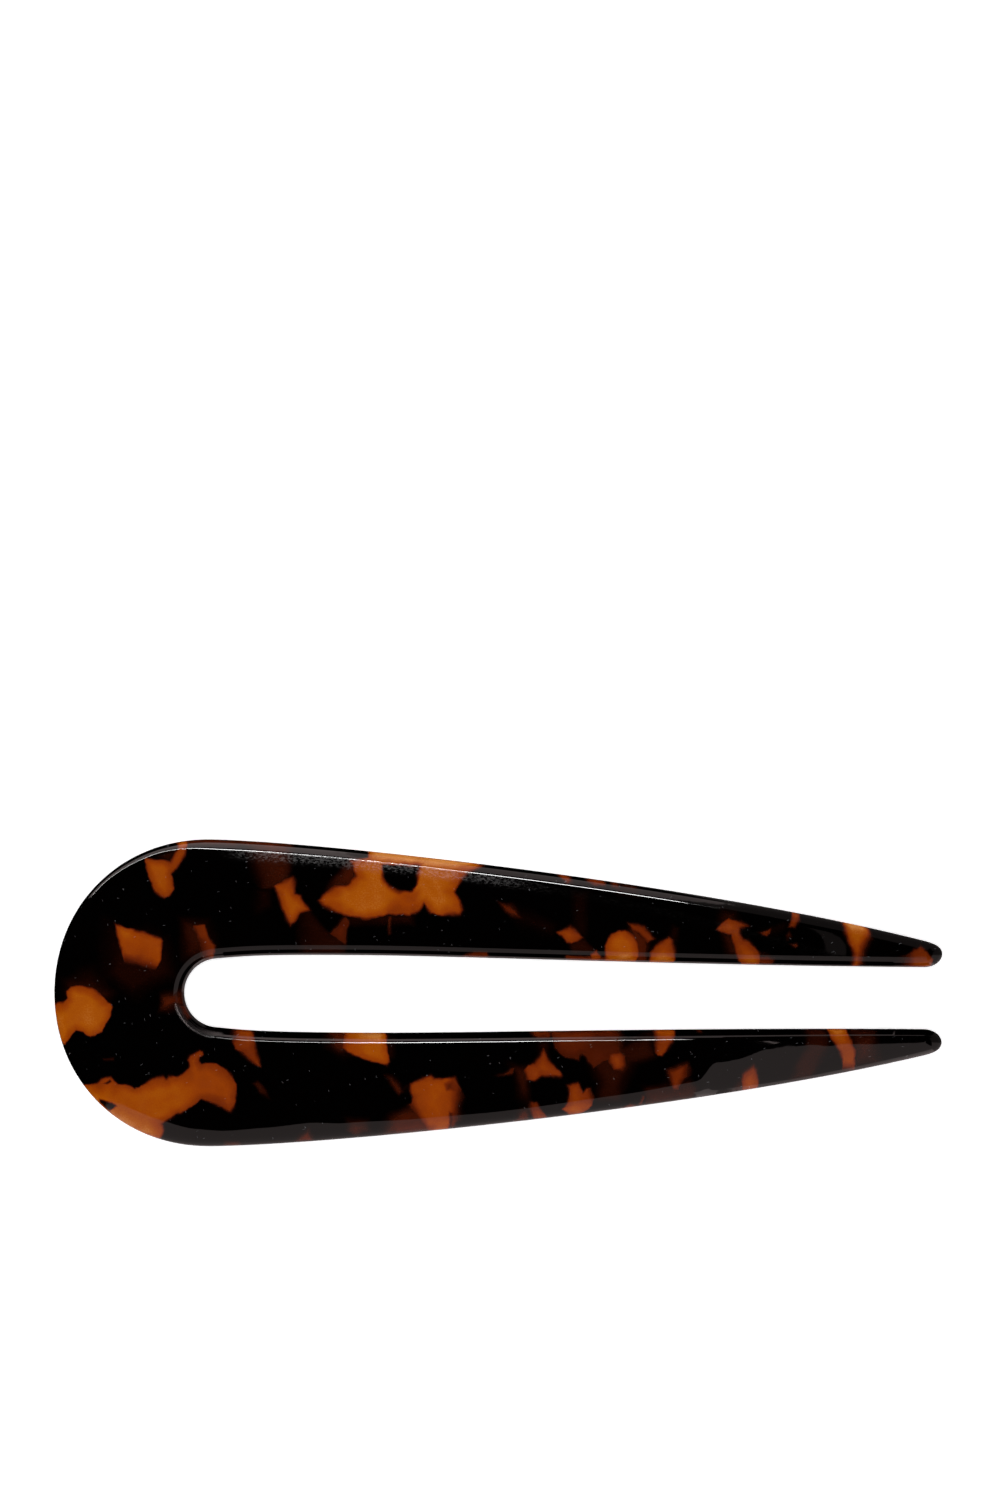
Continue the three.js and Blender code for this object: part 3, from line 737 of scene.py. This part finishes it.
# How light the acetate is at a place: its chips, then broad and fine unevenness, and painted
# light on the sides of the edges, standing in for light shining through the thin rim.
def lightness(nodes, place, along, across):
    groups = [chip_group(f"chip_{n}", chip, False) for n, chip in enumerate(CHIPS)]
    groups += [chip_group(f"fleck_{n}", fleck, True) for n, fleck in enumerate(FLECKS)]
    patches = nodes.noise(place, 0.21, 2.0).outputs[0]
    sharpness = nodes.ease(patches, 0.38, 0.62, 0.6, 1.3)
    light = 0.0
    for group in groups:
        node = nodes.add("ShaderNodeGroup", {0: along, 1: across, 2: sharpness}, node_tree=group)
        if light:
            nodes.tree.links.new(light, node.inputs[3])
        light = node.outputs[0]
    cloud = nodes.noise(place, 0.35, 3.0, 0.6).outputs[0]
    light = nodes.maths("MULTIPLY", light, nodes.ease(cloud, 0.25, 0.75, 0.75, 0.83))
    grain = nodes.noise(place, 5.0, 2.0, 0.7).outputs[0]
    light = nodes.maths("MULTIPLY", light, nodes.ease(grain, 0.2, 0.8, 0.94, 1.06))
    # Painted light: edges that face across the pin are lightened, as if lit through the thin rim.
    rim_light_facing = nodes.dot(nodes.add("ShaderNodeNewGeometry").outputs["Normal"], (-0.2, 1, 0))
    light = nodes.maths("MULTIPLY", light, nodes.ease(rim_light_facing, 0.3, 0.9, 1, 1.25))
    return nodes.maths("MULTIPLY", light, nodes.ease(rim_light_facing, -0.1, -0.6, 1, 1.2))


def tortoiseshell():
    material = bpy.data.materials.new("tortoiseshell_acetate")
    material.use_nodes = True
    nodes = Nodes(material.node_tree)
    shader = nodes.tree.nodes["Principled BSDF"]
    place, (along, across) = pin_places(nodes)

    colour = ramp(nodes, lightness(nodes, place, along, across), ACETATE_COLOURS)
    dusty = nodes.add("ShaderNodeMix", {"Factor": dust(nodes, place)}, data_type="RGBA")
    nodes.tree.links.new(colour, dusty.inputs[6])
    dusty.inputs[7].default_value = DUST_COLOUR
    nodes.tree.links.new(dusty.outputs[2], shader.inputs["Base Color"])

    roughness = nodes.maths("MAXIMUM", haze(nodes, place), unpolished_arc(nodes, place))
    smudge = nodes.noise(place, 0.5, 4.0, 0.7).outputs[0]
    roughness = nodes.maths("ADD", roughness, nodes.ease(smudge, 0.3, 0.8, POLISHED, SMUDGED))
    nodes.tree.links.new(roughness, shader.inputs["Roughness"])
    waves = nodes.noise(place, 0.45, 2.0, 0.5).outputs[0]
    bump = nodes.add(
        "ShaderNodeBump", {"Strength": 0.5, "Distance": WAVE_HEIGHT * MM, "Height": waves})
    nodes.tree.links.new(bump.outputs[0], shader.inputs["Normal"])
    shader.inputs["IOR"].default_value = ACETATE_IOR
    return material


# A soft panel light: its middle and size in metres, and how bright its face is.
def panel(name, place, size, brightness, in_gloss):
    data = bpy.data.lights.new(name, "AREA")
    data.shape = "RECTANGLE"
    data.size, data.size_y = size
    data.energy = brightness * math.pi * size[0] * size[1]
    light = new_object(name, data)
    light.location = place
    light.rotation_euler = Vector((0, -place[1], -place[2])).to_track_quat("-Z", "Y").to_euler()
    light.visible_camera = False
    light.visible_glossy = in_gloss
    light.visible_diffuse = not in_gloss


# A matt material that also glows evenly.
def matt(name, colour, glow, brightness):
    material = bpy.data.materials.new(name)
    material.use_nodes = True
    shader = material.node_tree.nodes["Principled BSDF"]
    shader.inputs["Base Color"].default_value = (*colour, 1)
    shader.inputs["Roughness"].default_value = 0.9
    shader.inputs["Specular IOR Level"].default_value = 0
    shader.inputs["Emission Color"].default_value = (*glow, 1)
    shader.inputs["Emission Strength"].default_value = brightness
    return material


# Stages a card that only shows in gloss.
def stage_card(name, points, faces, brightness, casts_shadow=False):
    card = new_object(name, new_mesh(name, points, faces))
    card.data.materials.append(matt(name, (0, 0, 0), CARD_TINT, brightness))
    card.visible_camera = False
    card.visible_diffuse = False
    card.visible_shadow = casts_shadow


# A curved reflector that only shows in the pin's gloss. Azimuths are anticlockwise from +X and
# zenith angles are from straight up, in degrees.
def reflector(name, azimuths, zeniths, brightness, distance=1.1):
    rows, columns = 16, 24
    points, faces = [], []
    for row in range(rows + 1):
        zenith = math.radians(lerp(*zeniths, row / rows))
        for column in range(columns + 1):
            azimuth = math.radians(lerp(*azimuths, column / columns))
            points.append(distance * Vector((
                math.sin(zenith) * math.cos(azimuth),
                math.sin(zenith) * math.sin(azimuth),
                math.cos(zenith))))
    for row in range(rows):
        for column in range(columns):
            a = row * (columns + 1) + column
            faces.append((a, a + 1, a + columns + 2, a + columns + 1))
    stage_card(name, points, faces, brightness)


# A thin black flag that only shows in the pin's gloss. It stands upright on the line through
# places (along, across, bottom, top) in the pin's millimetres.
def flag(name, posts):
    points = [(along, across, bottom) for along, across, bottom, top in posts]
    points += [(along, across, top) for along, across, bottom, top in posts]
    points = [ORIGIN + MM * Vector(point) for point in points]
    count = len(posts)
    faces = [(n, n + 1, n + 1 + count, n + count) for n in range(count - 1)]
    stage_card(name, points, faces, 0, casts_shadow=True)


# A small level card above one prong, which shows in its face as a patch of light.
def level_card(name, outline, brightness):
    points = [ORIGIN + MM * Vector((*place, LEVEL_CARD_UP)) for place in outline]
    stage_card(name, points, [range(len(points))], brightness)


# How high the level cards hang, and their outlines: one gives a grey patch on the upper prong
# near its tip, and the other a short streak on the lower one
LEVEL_CARD_UP = 20
FACE_CARD = [(104.8, 10.9), (106.5, 10.4), (108.5, 9.5), (110.9, 8.6), (112.4, 7.8), (113.2, 6.6),
             (113.3, 5), (111.6, 5.2), (110.4, 5.9), (110.1, 7.2), (109.7, 8.1), (108.8, 8.8)]
STREAK_CARD = [(99, -7.06), (101.5, -7.1), (103.6, -7.5), (105, -7.75), (104.8, -7.9),
               (103.2, -7.75), (101.4, -7.3)]

# Places along the slot, with the top of the flag that hides the strip light from its lower edge.
# It hides all of it near the tips and most of it elsewhere.
SLOT_SHADE = [(14, 36.4), (26, 37.4), (39, 37), (41, 28.5), (54, 26), (57, 34), (66, 34), (82, 36),
              (84, 33.5), (88, 34), (91.5, 36), (94.5, 46), (132, 46)]


def make_lights():
    panel("key", (0, 0.1, 1.2), (1, 1), 4.5, in_gloss=False)
    panel("strip", (-0.317, 0.445, 1), (0.965, 0.07), 66, in_gloss=True)
    reflector("front_card", (227, 354), (15, 155), 0.49)
    reflector("tip_card", (284, 306), (72, 128), 1.2, distance=1)
    reflector("back_card", (75, 88), (43, 106), 0.85)
    reflector("side_card", (88, 150), (43, 106), 1.6)
    reflector("dim_card", (-6, 75), (32, 165), 0.13)
    reflector("corner_strip", (10, 56), (23, 27), 25, distance=3)
    level_card("face_card", FACE_CARD, 0.13)
    level_card("streak_card", STREAK_CARD, 1.8)
    flag("slot_flag", [(24, 0, 0, 6.3), (118.6, 0, 0, 6.3)])
    flag("lower_tip_flag", [(118.6, -2, 0, 5.6), (126, -2, 0, 5.6)])
    flag("slot_end_flag", [(24, -4.4, 0, 6.3), (24, 4.4, 0, 6.3)])
    flag("slot_shade", [(along, 8, 27, top) for along, top in SLOT_SHADE])
    flag("outer_shade", [(97, 25, 30, 70), (160, 25, 30, 70)])
    flag("tip_shade", [(135, -20, 20, 62), (135, 30, 20, 62)])


# A pale floor that turns up into a wall far behind the pin, all round it.
def make_floor():
    profile = [(0, 0), (FLOOR_RADIUS / 3, 0), (FLOOR_RADIUS, 0)]
    steps = 12
    for step in range(1, steps + 1):
        turn = math.pi / 2 * step / steps
        radius = FLOOR_RADIUS + WALL_CURVE * math.sin(turn)
        profile.append((radius, WALL_CURVE * (1 - math.cos(turn))))
    around = 64
    points = []
    for radius, height in profile:
        for step in range(around):
            angle = 2 * math.pi * step / around
            points.append((radius * math.cos(angle), radius * math.sin(angle), low.z + height))
    mesh = new_mesh("floor", points, ring_faces(len(profile), around))
    mesh.shade_smooth()
    floor = new_object("floor", mesh)
    mesh.materials.append(matt("floor_paper", FLOOR_GREY, (1, 1, 1), 0.6))
    floor.visible_glossy = False


# The camera looks straight down, with the pin below the middle of its picture.
def make_camera():
    data = bpy.data.cameras.new("camera")
    data.lens = LENS
    data.sensor_width = 36
    camera = new_object("camera", data)
    centre = (cad_low + cad_high) / 2
    camera.location = centre + MM * Vector((0, CAMERA_ACROSS, CAMERA_UP))
    camera.rotation_euler = (0, 0, CAMERA_TURN)
    bpy.context.scene.camera = camera


pin = new_object("tortoiseshell_pin", pin_mesh())
pin.data.materials.append(tortoiseshell())
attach(pin, "root")
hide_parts("hair_pin")

make_floor()
make_lights()
make_camera()
world = bpy.data.worlds.new("world")
world.use_nodes = True
world.node_tree.nodes["Background"].inputs["Color"].default_value = (0, 0, 0, 1)
bpy.context.scene.world = world
bpy.context.scene.view_settings.view_transform = "Standard"
